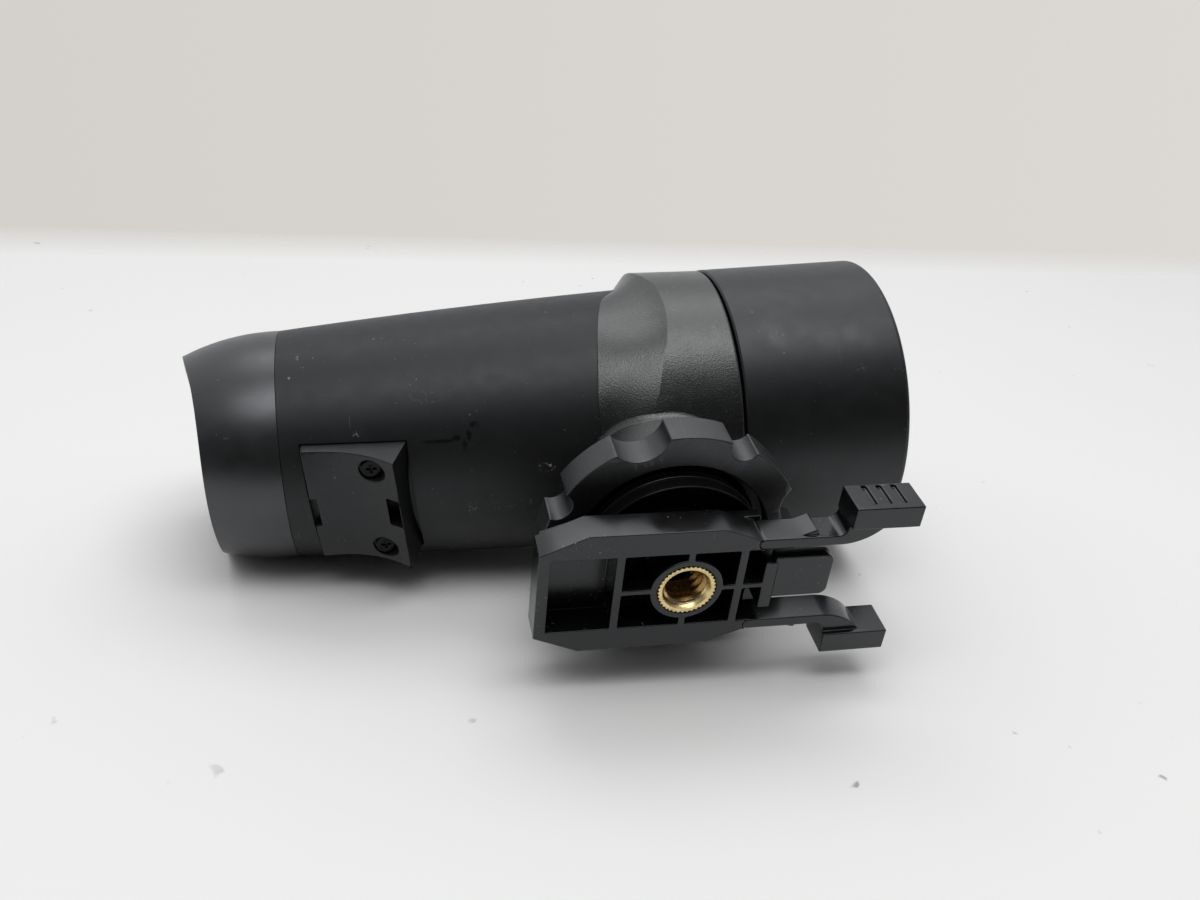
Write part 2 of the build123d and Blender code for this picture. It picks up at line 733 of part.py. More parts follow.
with BuildPart() as hood_o_ring:
    with BuildSketch(TUBE_PROFILE):
        with Locations((-54.85, 10.97)):
            Circle(0.57)
    revolve(axis=TUBE)
save(hood_o_ring.part, "hood_o_ring")

with BuildPart() as hood_retainer:
    with BuildSketch(station(-60.4)):
        Circle(12.6)
        Circle(EYE_BARREL_R, mode=Mode.SUBTRACT)
    extrude(amount=1.7)
save(hood_retainer.part, "hood_retainer")

with BuildPart() as rear_hood:
    with BuildSketch(TUBE_PROFILE):
        with BuildLine():
            Line((SEAM_REAR_X, EYE_BARREL_R + RUN_FIT), (SEAM_REAR_X, SEAM_R - 0.05))
            Line((SEAM_REAR_X, SEAM_R - 0.05), (SEAM_REAR_X - 0.05, SEAM_R))
            ThreePointArc((SEAM_REAR_X - 0.05, SEAM_R), (-59.5, 16.45), (REAR_X - 0.2, 13.95))
            Polyline(
                (REAR_X - 0.2, 13.95),
                (REAR_X - 0.2, 12.9),
                (-58.6, 12.9),
                (-58.6, EYE_BARREL_R + RUN_FIT),
                (SEAM_REAR_X, EYE_BARREL_R + RUN_FIT),
            )
        make_face()
    revolve(axis=TUBE)
    # The shade reaches further back on the side away from the shoe.
    with BuildSketch(Plane.XY.offset(-20)):
        with BuildLine():
            shade = Spline(
                (-62.45, AXIS_Y - 20),
                (-62.45, AXIS_Y - 10),
                (-63.35, AXIS_Y - 4.5),
                (-65.4, AXIS_Y + 4.4),
                (REAR_X, AXIS_Y + 11),
                (REAR_X, AXIS_Y + 20),
            )
            Line(shade @ 1, (-70, AXIS_Y + 20))
            Line((-70, AXIS_Y + 20), (-70, AXIS_Y - 20))
            Line((-70, AXIS_Y - 20), shade @ 0)
        make_face()
    extrude(amount=40, mode=Mode.SUBTRACT)
save(rear_hood.part, "rear_hood")
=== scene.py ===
import json
from math import atan2, cos, hypot, pi, radians, sin, sqrt, tau

import bmesh
import bpy
from mathutils import Matrix, Vector

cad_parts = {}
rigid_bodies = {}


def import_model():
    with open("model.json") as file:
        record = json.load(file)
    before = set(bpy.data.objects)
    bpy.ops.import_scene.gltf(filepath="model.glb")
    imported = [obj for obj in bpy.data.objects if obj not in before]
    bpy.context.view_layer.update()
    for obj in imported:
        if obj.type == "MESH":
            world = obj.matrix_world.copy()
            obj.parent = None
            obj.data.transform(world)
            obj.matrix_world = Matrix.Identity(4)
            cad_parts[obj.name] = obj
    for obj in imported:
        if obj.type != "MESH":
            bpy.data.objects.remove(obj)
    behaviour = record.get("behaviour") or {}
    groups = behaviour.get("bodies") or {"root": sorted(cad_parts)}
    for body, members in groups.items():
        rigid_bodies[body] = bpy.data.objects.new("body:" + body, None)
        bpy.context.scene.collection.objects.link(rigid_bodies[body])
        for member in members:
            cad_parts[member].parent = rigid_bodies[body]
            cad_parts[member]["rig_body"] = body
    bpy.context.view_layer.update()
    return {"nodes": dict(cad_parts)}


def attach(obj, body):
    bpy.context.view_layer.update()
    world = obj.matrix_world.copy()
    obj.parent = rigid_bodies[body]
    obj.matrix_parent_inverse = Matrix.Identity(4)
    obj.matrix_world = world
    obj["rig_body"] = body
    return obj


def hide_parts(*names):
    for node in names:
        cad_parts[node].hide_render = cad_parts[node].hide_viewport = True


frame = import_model()
nodes = frame["nodes"]

# ------------------------------------------------------------------ dimensions
MM = 0.001
# Height of the tube's axis over the shoe's face, in metres; the rest are in mm unless they say MM.
AXIS_Y = 42.2 * MM

# The tube's skin as (x, radius), and the collar's rear edge and crease as (degrees from -Y, x).
BODY_SKIN = [(-51.46, 17.2), (-38.0, 18.22), (-25.0, 19.0), (-12.0, 19.65), (1.0, 20.16), (13.8, 20.66)]
COLLAR_EDGE = [(0, -6.5), (28, -6.7), (40, -6.9), (48, -6.6), (62, -6.0), (74, -5.3), (87, -4.2), (96, -3.1),
               (109, -0.4), (122, 0.5), (150, 0.8), (180, 0.8)]
COLLAR_CREASE = [(0, 0.3), (28, 0.6), (37, 1.2), (48, 2.3), (60, 3.8), (74, 4.67), (87, 4.65), (96, 4.2),
                 (109, 2.9), (122, 2.7), (150, 2.7), (180, 2.7)]
COLLAR_FRONT = 13.8
COLLAR_CREST = 22.65
COLLAR_END = 22.35
COLLAR_BORE = 19.0
FOCUS_RING_R = 22.45

# The swivel's boss and the collet neck on it.
BOSS_R = 12.7
BOSS_FOOT_R = 12.0
BOSS_TOP = 28.6
BOSS_FOOT = 21.5
BOSS_LEAN = 2.1
NECK_R = 12.4
NECK_TOP = 31.8
NECK_BORE = 10.6
NECK_SLOT = 1.0
FILLET = 0.65

# The brass insert: its outside as (radius, depth), its mouth, and its thread.
INSERT_OUTSIDE = [(3.86, 5.6), (4.0, 5.4), (4.0, 3.4), (3.6, 3.2), (3.6, 2.4), (4.0, 2.2), (4.0, 0.18),
                  (3.9, 0.0)]
INSERT_MOUTH = [(3.45, 0.0), (3.3, 0.04), (3.22, 0.16), (3.0, 0.5)]
INSERT_R = 4.0
INSERT_DEPTH = 5.6
KNURL_DEPTH = 0.26
THREAD_PITCH = 1.27
THREAD_MINOR = 2.62
THREAD_MAJOR = 3.25
THREAD_START_R = 2.98

# The way the shoe points, and the plane where its arms begin.
SHOE_TURN = radians(3.7)
SHOE_ALONG = Vector((cos(SHOE_TURN), 0.0, -sin(SHOE_TURN)))
ARM_JOINT = (SHOE_ALONG * 9.6 * MM, SHOE_ALONG)

# The plane that the scope rests on, and the part of it that is shown, in metres.
FLOOR_NORMAL = Vector((0.0967, 0.1213, 0.9879)).normalized()
FLOOR_POINT = Vector((0, AXIS_Y, 0)) - 22.13 * MM * FLOOR_NORMAL
FLOOR_X = (-0.75, 0.75)
FLOOR_Y = (-0.115, 0.45)
FLOOR_GRID = 24

# The camera's axes and place, in metres.
CAMERA_RIGHT = Vector((0.98093, -0.19238, 0.02757))
CAMERA_UP = Vector((0.08741, 0.56344, 0.82152))
CAMERA_BACK = Vector((-0.17357, -0.80344, 0.56951))
CAMERA_PLACE = Vector((-0.03403, -0.10104, 0.09514))


# ------------------------------------------------------------------ material helpers
def new_material(name):
    """A new material with its node tree, its shader and the object's coordinates, in metres."""
    m = bpy.data.materials.new(name)
    m.use_nodes = True
    tree = m.node_tree
    shader = tree.nodes["Principled BSDF"]
    where = tree.nodes.new("ShaderNodeTexCoord").outputs["Object"]
    return m, tree, shader, where


def node(tree, kind, settings=(), **inputs):
    """A new node; its inputs are given by name, or as i0, i1 by number, as sockets or as values."""
    n = tree.nodes.new(kind)
    for key, value in dict(settings).items():
        setattr(n, key, value)
    for key, value in inputs.items():
        socket = n.inputs[int(key[1:])] if key[0] == "i" and key[1:].isdigit() else n.inputs[key]
        if isinstance(value, bpy.types.NodeSocket):
            tree.links.new(value, socket)
        else:
            socket.default_value = value
    return n


def noise(tree, where, scale, detail=3.0, rough=0.55):
    n = node(tree, "ShaderNodeTexNoise", Vector=where, Scale=scale, Detail=detail, Roughness=rough)
    return n.outputs["Fac"]


def ramp(tree, value, low, high, out_low=0.0, out_high=1.0):
    """A value mapped from low..high to out_low..out_high, and held at its ends."""
    n = node(tree, "ShaderNodeMapRange", {"clamp": True}, Value=value)
    for key, v in (("From Min", low), ("From Max", high), ("To Min", out_low), ("To Max", out_high)):
        n.inputs[key].default_value = v
    return n.outputs["Result"]


def math(tree, operation, a, b=0.0):
    return node(tree, "ShaderNodeMath", {"operation": operation}, i0=a, i1=b).outputs[0]


def mix(tree, factor, a, b):
    n = node(tree, "ShaderNodeMix", {"data_type": "RGBA"})
    for socket, value in ((n.inputs[0], factor), (n.inputs[6], a), (n.inputs[7], b)):
        if isinstance(value, bpy.types.NodeSocket):
            tree.links.new(value, socket)
        else:
            socket.default_value = value
    return n.outputs[2]


def bump(tree, height, distance, strength):
    return node(tree, "ShaderNodeBump", Height=height, Distance=distance, Strength=strength).outputs["Normal"]


def stretched(tree, where, scale, turn=(0, 0, 0)):
    n = node(tree, "ShaderNodeMapping", Vector=where, Scale=scale, Rotation=turn)
    return n.outputs["Vector"]


def grey(v, tint=(1.0, 1.0, 1.0)):
    return (v * tint[0], v * tint[1], v * tint[2], 1.0)


def link(tree, shader, **sockets):
    names = {"base": "Base Color", "rough": "Roughness", "normal": "Normal"}
    for key, value in sockets.items():
        socket = shader.inputs[names[key]]
        if isinstance(value, bpy.types.NodeSocket):
            tree.links.new(value, socket)
        else:
            socket.default_value = value


def specks(tree, where, density, low, high):
    """Small irregular light specks: noise thresholds limited to patches."""
    fine = noise(tree, where, density, 2.0, 0.6)
    patch = noise(tree, where, 90.0, 2.0, 0.6)
    spot = ramp(tree, fine, low, high)
    return math(tree, "MULTIPLY", spot, ramp(tree, patch, 0.46, 0.6))


def scratches(tree, where, scale, turn, low, high):
    """Thin long lines, broken up by a wide noise."""
    lines = noise(tree, stretched(tree, where, scale, turn), 1.0, 1.0, 0.5)
    line = ramp(tree, lines, low, high)
    return math(tree, "MULTIPLY", line, ramp(tree, noise(tree, where, 120.0, 1.0), 0.52, 0.62))


def near(tree, where, centre, size):
    """1 at a centre given in mm, falling to 0 at the sizes given in mm."""
    away = node(tree, "ShaderNodeVectorMath", {"operation": "SUBTRACT"}, i0=where,
                i1=tuple(c * MM for c in centre)).outputs[0]
    away = node(tree, "ShaderNodeVectorMath", {"operation": "DIVIDE"}, i0=away,
                i1=tuple(c * MM for c in size)).outputs[0]
    length = node(tree, "ShaderNodeVectorMath", {"operation": "LENGTH"}, i0=away).outputs["Value"]
    return ramp(tree, length, 0.55, 1.0, 1.0, 0.0)


def marks_at(tree, where, spots, pattern):
    """A pattern shown only near the given (centre, size) spots, in mm."""
    total = 0.0
    for centre, size in spots:
        total = math(tree, "MAXIMUM", total, near(tree, where, centre, size))
    return math(tree, "MULTIPLY", total, pattern)


def black_coating(name, base, rough, grain, grain_depth, spec, dust=0.5, tint=(1.0, 1.0, 1.04), painted_glint_strength=0.0,
                  light_spots=(), dark_spots=(), chip_spots=(), chip_level=0.55, smears=(),
                  sheen=(0.93, 0.96, 1.0, 1.0)):
    """Black plastic or coating with a fine grain, uneven sheen, dust, faint scratches and painted glints:
    light specks painted into its colour where the grain would catch the light.

    Spots are (centre, size) places in mm with light scuffs, dark rubs or small white chips, and smears
    are places with a cloudy, slightly glossier film. Sheen is the colour of the reflections.
    """
    m, tree, shader, where = new_material(name)
    wide = noise(tree, where, 60.0, 3.0)
    cloud = noise(tree, where, 420.0, 3.0)
    fine = noise(tree, where, grain, 2.0, 0.6)
    tone = mix(tree, wide, grey(base * 0.8, tint), grey(base * 1.25, tint))
    dusty = specks(tree, where, 1500.0, 0.70, 0.76)
    lined = scratches(tree, where, (5200.0, 90.0, 260.0), (0.3, 0.5, 0.9), 0.75, 0.79)
    marks_and_painted_glints = math(tree, "MULTIPLY", math(tree, "ADD", dusty, math(tree, "MULTIPLY", lined, 0.35)), dust)
    if light_spots:
        scuff = ramp(tree, noise(tree, where, 1900.0, 4.0, 0.7), 0.52, 0.72, 0.0, 0.22)
        marks_and_painted_glints = math(tree, "MAXIMUM", marks_and_painted_glints, marks_at(tree, where, light_spots, scuff))
    if chip_spots:
        chip = ramp(tree, noise(tree, where, 2600.0, 3.0, 0.7), chip_level, chip_level + 0.07)
        marks_and_painted_glints = math(tree, "MAXIMUM", marks_and_painted_glints, marks_at(tree, where, chip_spots, chip))
    # Painted glints: light specks painted into the colour, standing in for the grain catching the light.
    if painted_glint_strength:
        glint = ramp(tree, noise(tree, where, 6400.0, 1.0, 0.5), 0.66, 0.76, 0.0, painted_glint_strength)
        marks_and_painted_glints = math(tree, "MAXIMUM", marks_and_painted_glints, glint)
    roughness = math(tree, "ADD", ramp(tree, cloud, 0.3, 0.7, rough - 0.035, rough + 0.035),
                     math(tree, "MULTIPLY", marks_and_painted_glints, 0.2))
    if smears:
        film = marks_at(tree, where, smears, ramp(tree, noise(tree, where, 190.0, 2.0, 0.5), 0.30, 0.72))
        roughness = math(tree, "SUBTRACT", roughness, math(tree, "MULTIPLY", film, 0.06))
        tone = mix(tree, film, tone, grey(base * 1.9, tint))
    if dark_spots:
        wavy = noise(tree, where, 800.0, 3.0, 0.6)
        rubbed = marks_at(tree, where, dark_spots, ramp(tree, wavy, 0.30, 0.50, 0.0, 0.55))
        roughness = math(tree, "SUBTRACT", roughness, math(tree, "MULTIPLY", rubbed, 0.3))
        tone = mix(tree, rubbed, tone, grey(0.001))
    # The colour takes the dust, scratches, scuffs and chips, and the painted glints.
    link(tree, shader,
         base=mix(tree, marks_and_painted_glints, tone, grey(0.32)),
         rough=roughness,
         normal=bump(tree, fine, grain_depth, 0.6))
    shader.inputs["Specular IOR Level"].default_value = spec
    shader.inputs["Specular Tint"].default_value = sheen
    return m


def anodised(name, base, rough):
    """Turned and black anodised aluminium, with faint tool rings round the tube."""
    m, tree, shader, where = new_material(name)
    rings = noise(tree, stretched(tree, where, (9000.0, 200.0, 200.0)), 1.0, 2.0)
    cloud = noise(tree, where, 300.0, 3.0)
    link(tree, shader,
         base=mix(tree, cloud, grey(base * 0.8), grey(base * 1.3)),
         rough=ramp(tree, cloud, 0.3, 0.7, rough - 0.05, rough + 0.06),
         normal=bump(tree, rings, 0.004 * MM, 0.5))
    shader.inputs["Metallic"].default_value = 0.55
    return m


def metal(name, colour, rough, line_scale, depth, painted_shade_colour=None):
    """Machined bare metal with fine tool lines; its last argument is a darker colour painted inside as shade,
    from 0.5 to 2 mm in.
    """
    m, tree, shader, where = new_material(name)
    lines = noise(tree, stretched(tree, where, line_scale), 1.0, 2.0)
    cloud = noise(tree, where, 700.0, 3.0)
    dark = tuple(c * 0.72 for c in colour[:3]) + (1.0,)
    tone = mix(tree, ramp(tree, cloud, 0.35, 0.65), dark, colour)
    # Painted shade: deeper inside the bore the colour turns to the darker shade colour.
    if painted_shade_colour:
        inward = node(tree, "ShaderNodeSeparateXYZ", Vector=where).outputs["Y"]
        tone = mix(tree, ramp(tree, inward, 0.5 * MM, 2.0 * MM, 0.0, 0.92), tone, painted_shade_colour)
    link(tree, shader,
         base=tone,
         rough=ramp(tree, cloud, 0.3, 0.7, rough - 0.06, rough + 0.08),
         normal=bump(tree, lines, depth, 0.5))
    shader.inputs["Metallic"].default_value = 1.0
    return m


def coated_glass(name, tint):
    """Clear lens glass with a faint blue coating."""
    m, tree, shader, where = new_material(name)
    film = noise(tree, where, 120.0, 2.0)
    link(tree, shader,
         base=mix(tree, film, tint, (0.97, 0.98, 1.0, 1.0)),
         rough=ramp(tree, noise(tree, where, 900.0, 3.0), 0.3, 0.8, 0.0, 0.03))
    shader.inputs["Transmission Weight"].default_value = 1.0
    shader.inputs["IOR"].default_value = 1.5
    shader.inputs["Coat Weight"].default_value = 0.3
    shader.inputs["Coat Tint"].default_value = (0.82, 0.90, 1.0, 1.0)
    shader.inputs["Coat Roughness"].default_value = 0.02
    return m


# Where the tube, the front ring and the shoe are scuffed, as (centre, size) in mm.
BODY_SCUFFS = [((-25.7, 23.3, -1.2), (1.3, 3.0, 1.6)), ((-21.6, 23.1, -1.0), (3.2, 3.0, 1.5)),
               ((-18.2, 22.9, -0.6), (2.0, 3.0, 0.9)), ((-31.0, 30.0, 14.0), (2.6, 3.0, 0.9))]
BODY_RUBS = [((-29.6, 25.9, 9.1), (3.0, 1.5, 0.28)), ((-26.2, 25.2, 8.5), (0.5, 1.5, 0.9)),
             ((-25.5, 25.8, 9.7), (0.45, 1.5, 1.0)), ((-24.6, 26.6, 10.9), (0.9, 1.5, 0.5)),
             ((-27.2, 25.7, 9.4), (0.8, 1.5, 0.45))]
BODY_CHIPS = [((-14.9, 23.3, 4.9), (1.5, 2.0, 0.9)), ((-40.9, 27.4, 10.4), (0.7, 1.5, 0.45)),
              ((-25.7, 23.3, -1.2), (0.7, 2.0, 0.7))]
RING_SCUFFS = [((20.4, 30.8, 19.3), (1.7, 3.0, 0.8)), ((32.0, 27.0, 15.5), (0.9, 3.0, 0.8))]
RING_SMEARS = [((21.5, 32.0, 20.0), (5.0, 4.0, 3.5)), ((30.0, 29.0, 18.0), (6.0, 5.0, 4.5))]
SHOE_DUST = [((-19.3, 1.5, 1.0), (3.0, 5.0, 11.0)), ((-14.0, 0.0, 9.0), (7.0, 1.2, 2.4)),
             ((-4.0, 0.5, -0.3), (4.5, 2.0, 0.6))]

body_black = black_coating("body_black", 0.0062, 0.48, 5200.0, 0.008 * MM, 0.44, 0.6,
                           light_spots=BODY_SCUFFS, dark_spots=BODY_RUBS, chip_spots=BODY_CHIPS)
hood_black = black_coating("hood_black", 0.0075, 0.36, 6500.0, 0.004 * MM, 0.95, 0.35)
ring_black = black_coating("ring_black", 0.0066, 0.43, 6000.0, 0.006 * MM, 0.56, 0.4,
                           light_spots=RING_SCUFFS, smears=RING_SMEARS)
plate_black = black_coating("plate_black", 0.009, 0.38, 5600.0, 0.008 * MM, 0.47, 0.3)
# The lock ring's colour has painted glint specks.
lock_black = black_coating("lock_black", 0.010, 0.36, 4300.0, 0.06 * MM, 0.82, 0.4, painted_glint_strength=0.2)
hub_black = black_coating("hub_black", 0.004, 0.24, 6500.0, 0.003 * MM, 0.5, 0.5)
shoe_black = black_coating("shoe_black", 0.0035, 0.23, 3800.0, 0.006 * MM, 0.62, 0.6, chip_spots=SHOE_DUST,
                           chip_level=0.64)
# The collar's colour has painted glint specks.
collar_black = black_coating("collar_black", 0.009, 0.30, 4300.0, 0.075 * MM, 0.95, 0.4, painted_glint_strength=0.3,
                             sheen=(0.97, 0.99, 0.98, 1.0))
screw_black = metal("screw_black", (0.022, 0.022, 0.023, 1.0), 0.36, (3000.0, 3000.0, 3000.0), 0.004 * MM)
black_aluminium = anodised("black_aluminium", 0.02, 0.38)
steel = metal("steel", (0.62, 0.62, 0.63, 1.0), 0.28, (300.0, 300.0, 6000.0), 0.004 * MM)
# The brass gets a dark brown painted shade inside its threaded bore.
brass = metal("brass", (0.95, 0.75, 0.38, 1.0), 0.27, (500.0, 7000.0, 500.0), 0.004 * MM,
              (0.30, 0.15, 0.04, 1.0))
baffle_black = black_coating("baffle_black", 0.004, 0.8, 4000.0, 0.01 * MM, 0.2, 0.0)
rubber = black_coating("rubber", 0.01, 0.6, 3500.0, 0.01 * MM, 0.4, 0.2)
acetal = black_coating("acetal", 0.62, 0.35, 3000.0, 0.003 * MM, 0.5, 0.0, (1.0, 0.98, 0.93))
lens_glass = coated_glass("lens_glass", (0.90, 0.96, 0.94, 1.0))

FINISH = {
    "body_shell": body_black,
    "wedge_plate": plate_black,
    "wedge_plate_screws": screw_black,
    "collar": collar_black,
    "lock_ring": lock_black,
    "swivel_hub": hub_black,
    "hub_screws": screw_black,
    "pivot_screw": screw_black,
    "pivot_washer": acetal,
    "shoe_tray": shoe_black,
    "tripod_insert": brass,
    "release_arm_upper": shoe_black,
    "release_arm_lower": shoe_black,
    "focus_ring": ring_black,
    "drive_pin": steel,
    "baffle_front": baffle_black,
    "baffle_rear": baffle_black,
    "hood_o_ring": rubber,
    "rear_hood": hood_black,
}
for lens_name in ("objective_crown", "objective_flint", "reticle_glass", "field_lens", "eye_lens"):
    FINISH[lens_name] = lens_glass


def paint(obj, material):
    obj.data.materials.clear()
    obj.data.materials.append(material)


for name, cad_node in nodes.items():
    paint(cad_node, FINISH.get(name, black_aluminium))


# ------------------------------------------------------------------ mesh helpers
def mesh_object(name, verts, faces, material, body, sharp=40.0):
    mesh = bpy.data.meshes.new(name)
    mesh.from_pydata([tuple(v) for v in verts], [], faces)
    bm = bmesh.new()
    bm.from_mesh(mesh)
    bmesh.ops.remove_doubles(bm, verts=bm.verts, dist=1e-7)
    bmesh.ops.recalc_face_normals(bm, faces=bm.faces)
    bm.to_mesh(mesh)
    bm.free()
    obj = bpy.data.objects.new(name, mesh)
    bpy.context.scene.collection.objects.link(obj)
    mesh.shade_smooth()
    mesh.set_sharp_from_angle(angle=radians(sharp))
    paint(obj, material)
    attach(obj, body)
    return obj


def refined(node_name, width, segments=2, edge_angle=32.0, keep_plane=None):
    """A copy of a CAD piece with its edges rounded, except those in the plane given as (point, normal)."""
    source = nodes[node_name]
    bm = bmesh.new()
    bm.from_mesh(source.data)
    bmesh.ops.remove_doubles(bm, verts=bm.verts, dist=2e-6)
    chosen = []
    for edge in bm.edges:
        if len(edge.link_faces) != 2 or edge.calc_face_angle(0.0) < radians(edge_angle):
            continue
        if keep_plane and all(abs((v.co - keep_plane[0]).dot(keep_plane[1])) < 0.05 * MM for v in edge.verts):
            continue
        chosen.append(edge)
    bmesh.ops.bevel(bm, geom=chosen, offset=width, offset_type="OFFSET", segments=segments, profile=0.5,
                    affect="EDGES", clamp_overlap=False, miter_outer="ARC")
    mesh = bpy.data.meshes.new(node_name + "_finished")
    bm.to_mesh(mesh)
    bm.free()
    obj = bpy.data.objects.new(node_name + "_finished", mesh)
    bpy.context.scene.collection.objects.link(obj)
    mesh.shade_smooth()
    mesh.set_sharp_from_angle(angle=radians(35))
    weighted = obj.modifiers.new("normals", "WEIGHTED_NORMAL")
    weighted.keep_sharp = True
    weighted.weight = 80
    paint(obj, FINISH.get(node_name, black_aluminium))
    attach(obj, source["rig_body"])
    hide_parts(node_name)
    return obj


def grid_faces(rows, columns, closed=True):
    """Quads of a grid of rows x columns points; closed joins the last column to the first."""
    faces = []
    for i in range(rows - 1):
        for j in range(columns if closed else columns - 1):
            k = (j + 1) % columns
            faces.append((i * columns + j, i * columns + k, (i + 1) * columns + k, (i + 1) * columns + j))
    return faces


def tube_point(x, r, phi):
    """Point at x along the tube, r out from its axis, phi from -Y towards +Z; in mm and radians."""
    return Vector((x * MM, AXIS_Y - r * cos(phi) * MM, r * sin(phi) * MM))


def swivel_point(rho, theta, h):
    """Point rho out from the swivel axis at angle theta from +X, h out from the tube axis; in mm."""
    return Vector((rho * cos(theta) * MM, AXIS_Y - h * MM, rho * sin(theta) * MM))


def smooth(t):
    t = min(max(t, 0.0), 1.0)
    return t * t * (3 - 2 * t)


def curve_value(table, x):
    """Value of a smooth curve through (x, y) pairs, by Catmull-Rom between its points."""
    xs = [p[0] for p in table]
    if x <= xs[0]:
        return table[0][1]
    if x >= xs[-1]:
        return table[-1][1]
    i = max(k for k in range(len(xs) - 1) if xs[k] <= x)
    (x0, y0), (x1, y1) = table[i], table[i + 1]
    before = table[i - 1] if i > 0 else (2 * x0 - x1, 2 * y0 - y1)
    after = table[i + 2] if i + 2 < len(table) else (2 * x1 - x0, 2 * y1 - y0)
    m0 = (y1 - before[1]) / (x1 - before[0]) * (x1 - x0)
    m1 = (after[1] - y0) / (after[0] - x0) * (x1 - x0)
    t = (x - x0) / (x1 - x0)
    return ((2 * t**3 - 3 * t**2 + 1) * y0 + (t**3 - 2 * t**2 + t) * m0
            + (-2 * t**3 + 3 * t**2) * y1 + (t**3 - t**2) * m1)


# ------------------------------------------------------------------ collar
def edge_lift(degrees):
    """Height of the collar's thin rear edge over the tube."""
    return 0.22 - 0.14 * smooth((degrees - 84) / 26)


def collar_radius(x, degrees):
    """Outer radius of the collar at x, at an angle from -Y; a hollow flare, a crease and a level crest."""
    edge = curve_value(COLLAR_EDGE, degrees)
    crease = curve_value(COLLAR_CREASE, degrees)
    crest = COLLAR_CREST + (COLLAR_END - COLLAR_CREST) * (x - crease) / (COLLAR_FRONT - crease)
    if x >= crease:
        return crest
    t = (x - edge) / (crease - edge)
    foot = curve_value(BODY_SKIN, edge) + edge_lift(degrees)
    soft = smooth((52 - degrees) / 26)
    straight = smooth((degrees - 84) / 26)
    hollowness = smooth((degrees - 56) / 20) * (1 - straight)
    hollow = t + (0.8 * t**2.2 - 0.8 * t) * hollowness
    swell = smooth(t)
    shape = hollow * (1 - soft) + (0.55 * swell + 0.45 * t) * soft
    return foot + (COLLAR_CREST - foot) * shape


def collar_skin():
    """The collar's band: a thin rear edge, the flare up to the crease, the crest and a rounded front."""
    columns = 288
    verts = []
    steps = 30
    for row in range(steps + 8):
        for j in range(columns):
            phi = -pi + tau * j / columns
            degrees = abs(phi) * 180 / pi
            edge = curve_value(COLLAR_EDGE, degrees)
            crease = curve_value(COLLAR_CREASE, degrees)
            if row == 0:
                x, r = edge, curve_value(BODY_SKIN, edge) - 0.1
            elif row == 1:
                x, r = edge, curve_value(BODY_SKIN, edge) + edge_lift(degrees) * 0.6
            elif row <= steps:
                x = edge + 0.06 + (crease - edge - 0.06) * (row - 2) / (steps - 2)
                r = collar_radius(x, degrees)
            elif row <= steps + 4:
                x = crease + (COLLAR_FRONT - 0.35 - crease) * (row - steps) / 4
                r = collar_radius(x, degrees)
            elif row == steps + 5:
                x, r = COLLAR_FRONT - 0.1, COLLAR_END - 0.1
            elif row == steps + 6:
                x, r = COLLAR_FRONT, COLLAR_END - 0.35
            else:
                x, r = COLLAR_FRONT, COLLAR_BORE
            verts.append(tube_point(x, r, phi))
    return mesh_object("collar_band", verts, grid_faces(steps + 8, columns), collar_black, "housing",
                       15.0)


def surface_height(rho, theta):
    """Height of the collar or tube surface over a point near the swivel axis."""
    x, z = rho * cos(theta), rho * sin(theta)
    h = 20.0
    for _ in range(6):
        degrees = abs(atan2(z, h)) * 180 / pi
        if x < curve_value(COLLAR_EDGE, degrees):
            r = curve_value(BODY_SKIN, x)
        elif x <= COLLAR_FRONT:
            r = collar_radius(x, degrees)
        else:
            r = FOCUS_RING_R
        h = sqrt(max(r * r - z * z, 1.0))
    return h


def boss_point(spread, theta, h):
    """Point of the boss at height h, spread out from its wall; it narrows and leans forward to its foot."""
    down = min((BOSS_TOP - h) / (BOSS_TOP - BOSS_FOOT), 1.0)
    rho = BOSS_R + (BOSS_FOOT_R - BOSS_R) * down + spread
    return min(rho * cos(theta) + BOSS_LEAN * down, COLLAR_FRONT - 0.1), rho * sin(theta)


def boss():
    """Round boss that the lock ring sits on, flowing into the collar through a fillet."""
    columns = 192
    thetas = [tau * j / columns for j in range(columns)]
    levels = [(BOSS_R - 1.9, BOSS_TOP), (BOSS_R - 0.2, BOSS_TOP), (BOSS_R, BOSS_TOP - 0.2)]
    verts = [swivel_point(rho, theta, h) for rho, h in levels for theta in thetas]
    steps = 10
    for k in range(steps + 1):
        a = pi / 2 * k / steps
        for theta in thetas:
            spread = FILLET * (1 - cos(a))
            x, z = boss_point(0.0, theta, BOSS_FOOT)
            top = min(surface_height(hypot(x, z), atan2(z, x)) + FILLET, BOSS_TOP - 0.3)
            x, z = boss_point(spread, theta, BOSS_FOOT)
            foot = surface_height(hypot(x, z), atan2(z, x))
            h = top + (foot - 0.03 - top) * sin(a)
            x, z = boss_point(spread, theta, h)
            verts.append(Vector((x * MM, AXIS_Y - h * MM, z * MM)))
    return mesh_object("collar_boss", verts, grid_faces(steps + 4, columns), collar_black, "housing",
                       35.0)


def arc_bar(inner, outer, low, high, start, end, steps, chamfer=0.15):
    """Closed bar of rectangular section bent round the swivel axis, its top edges broken."""
    section = [(inner, low), (outer, low), (outer, high - chamfer), (outer - chamfer, high),
               (inner + chamfer, high), (inner, high - chamfer)]
    verts, faces = [], []
    for i in range(steps + 1):
        theta = start + (end - start) * i / steps
        verts += [swivel_point(rho, theta, h) for rho, h in section]
    n = len(section)
    for i in range(steps):
        for k in range(n):
            faces.append((i * n + k, i * n + (k + 1) % n, (i + 1) * n + (k + 1) % n, (i + 1) * n + k))
    faces.append(tuple(range(n)))
    faces.append(tuple(steps * n + k for k in reversed(range(n))))
    return verts, faces


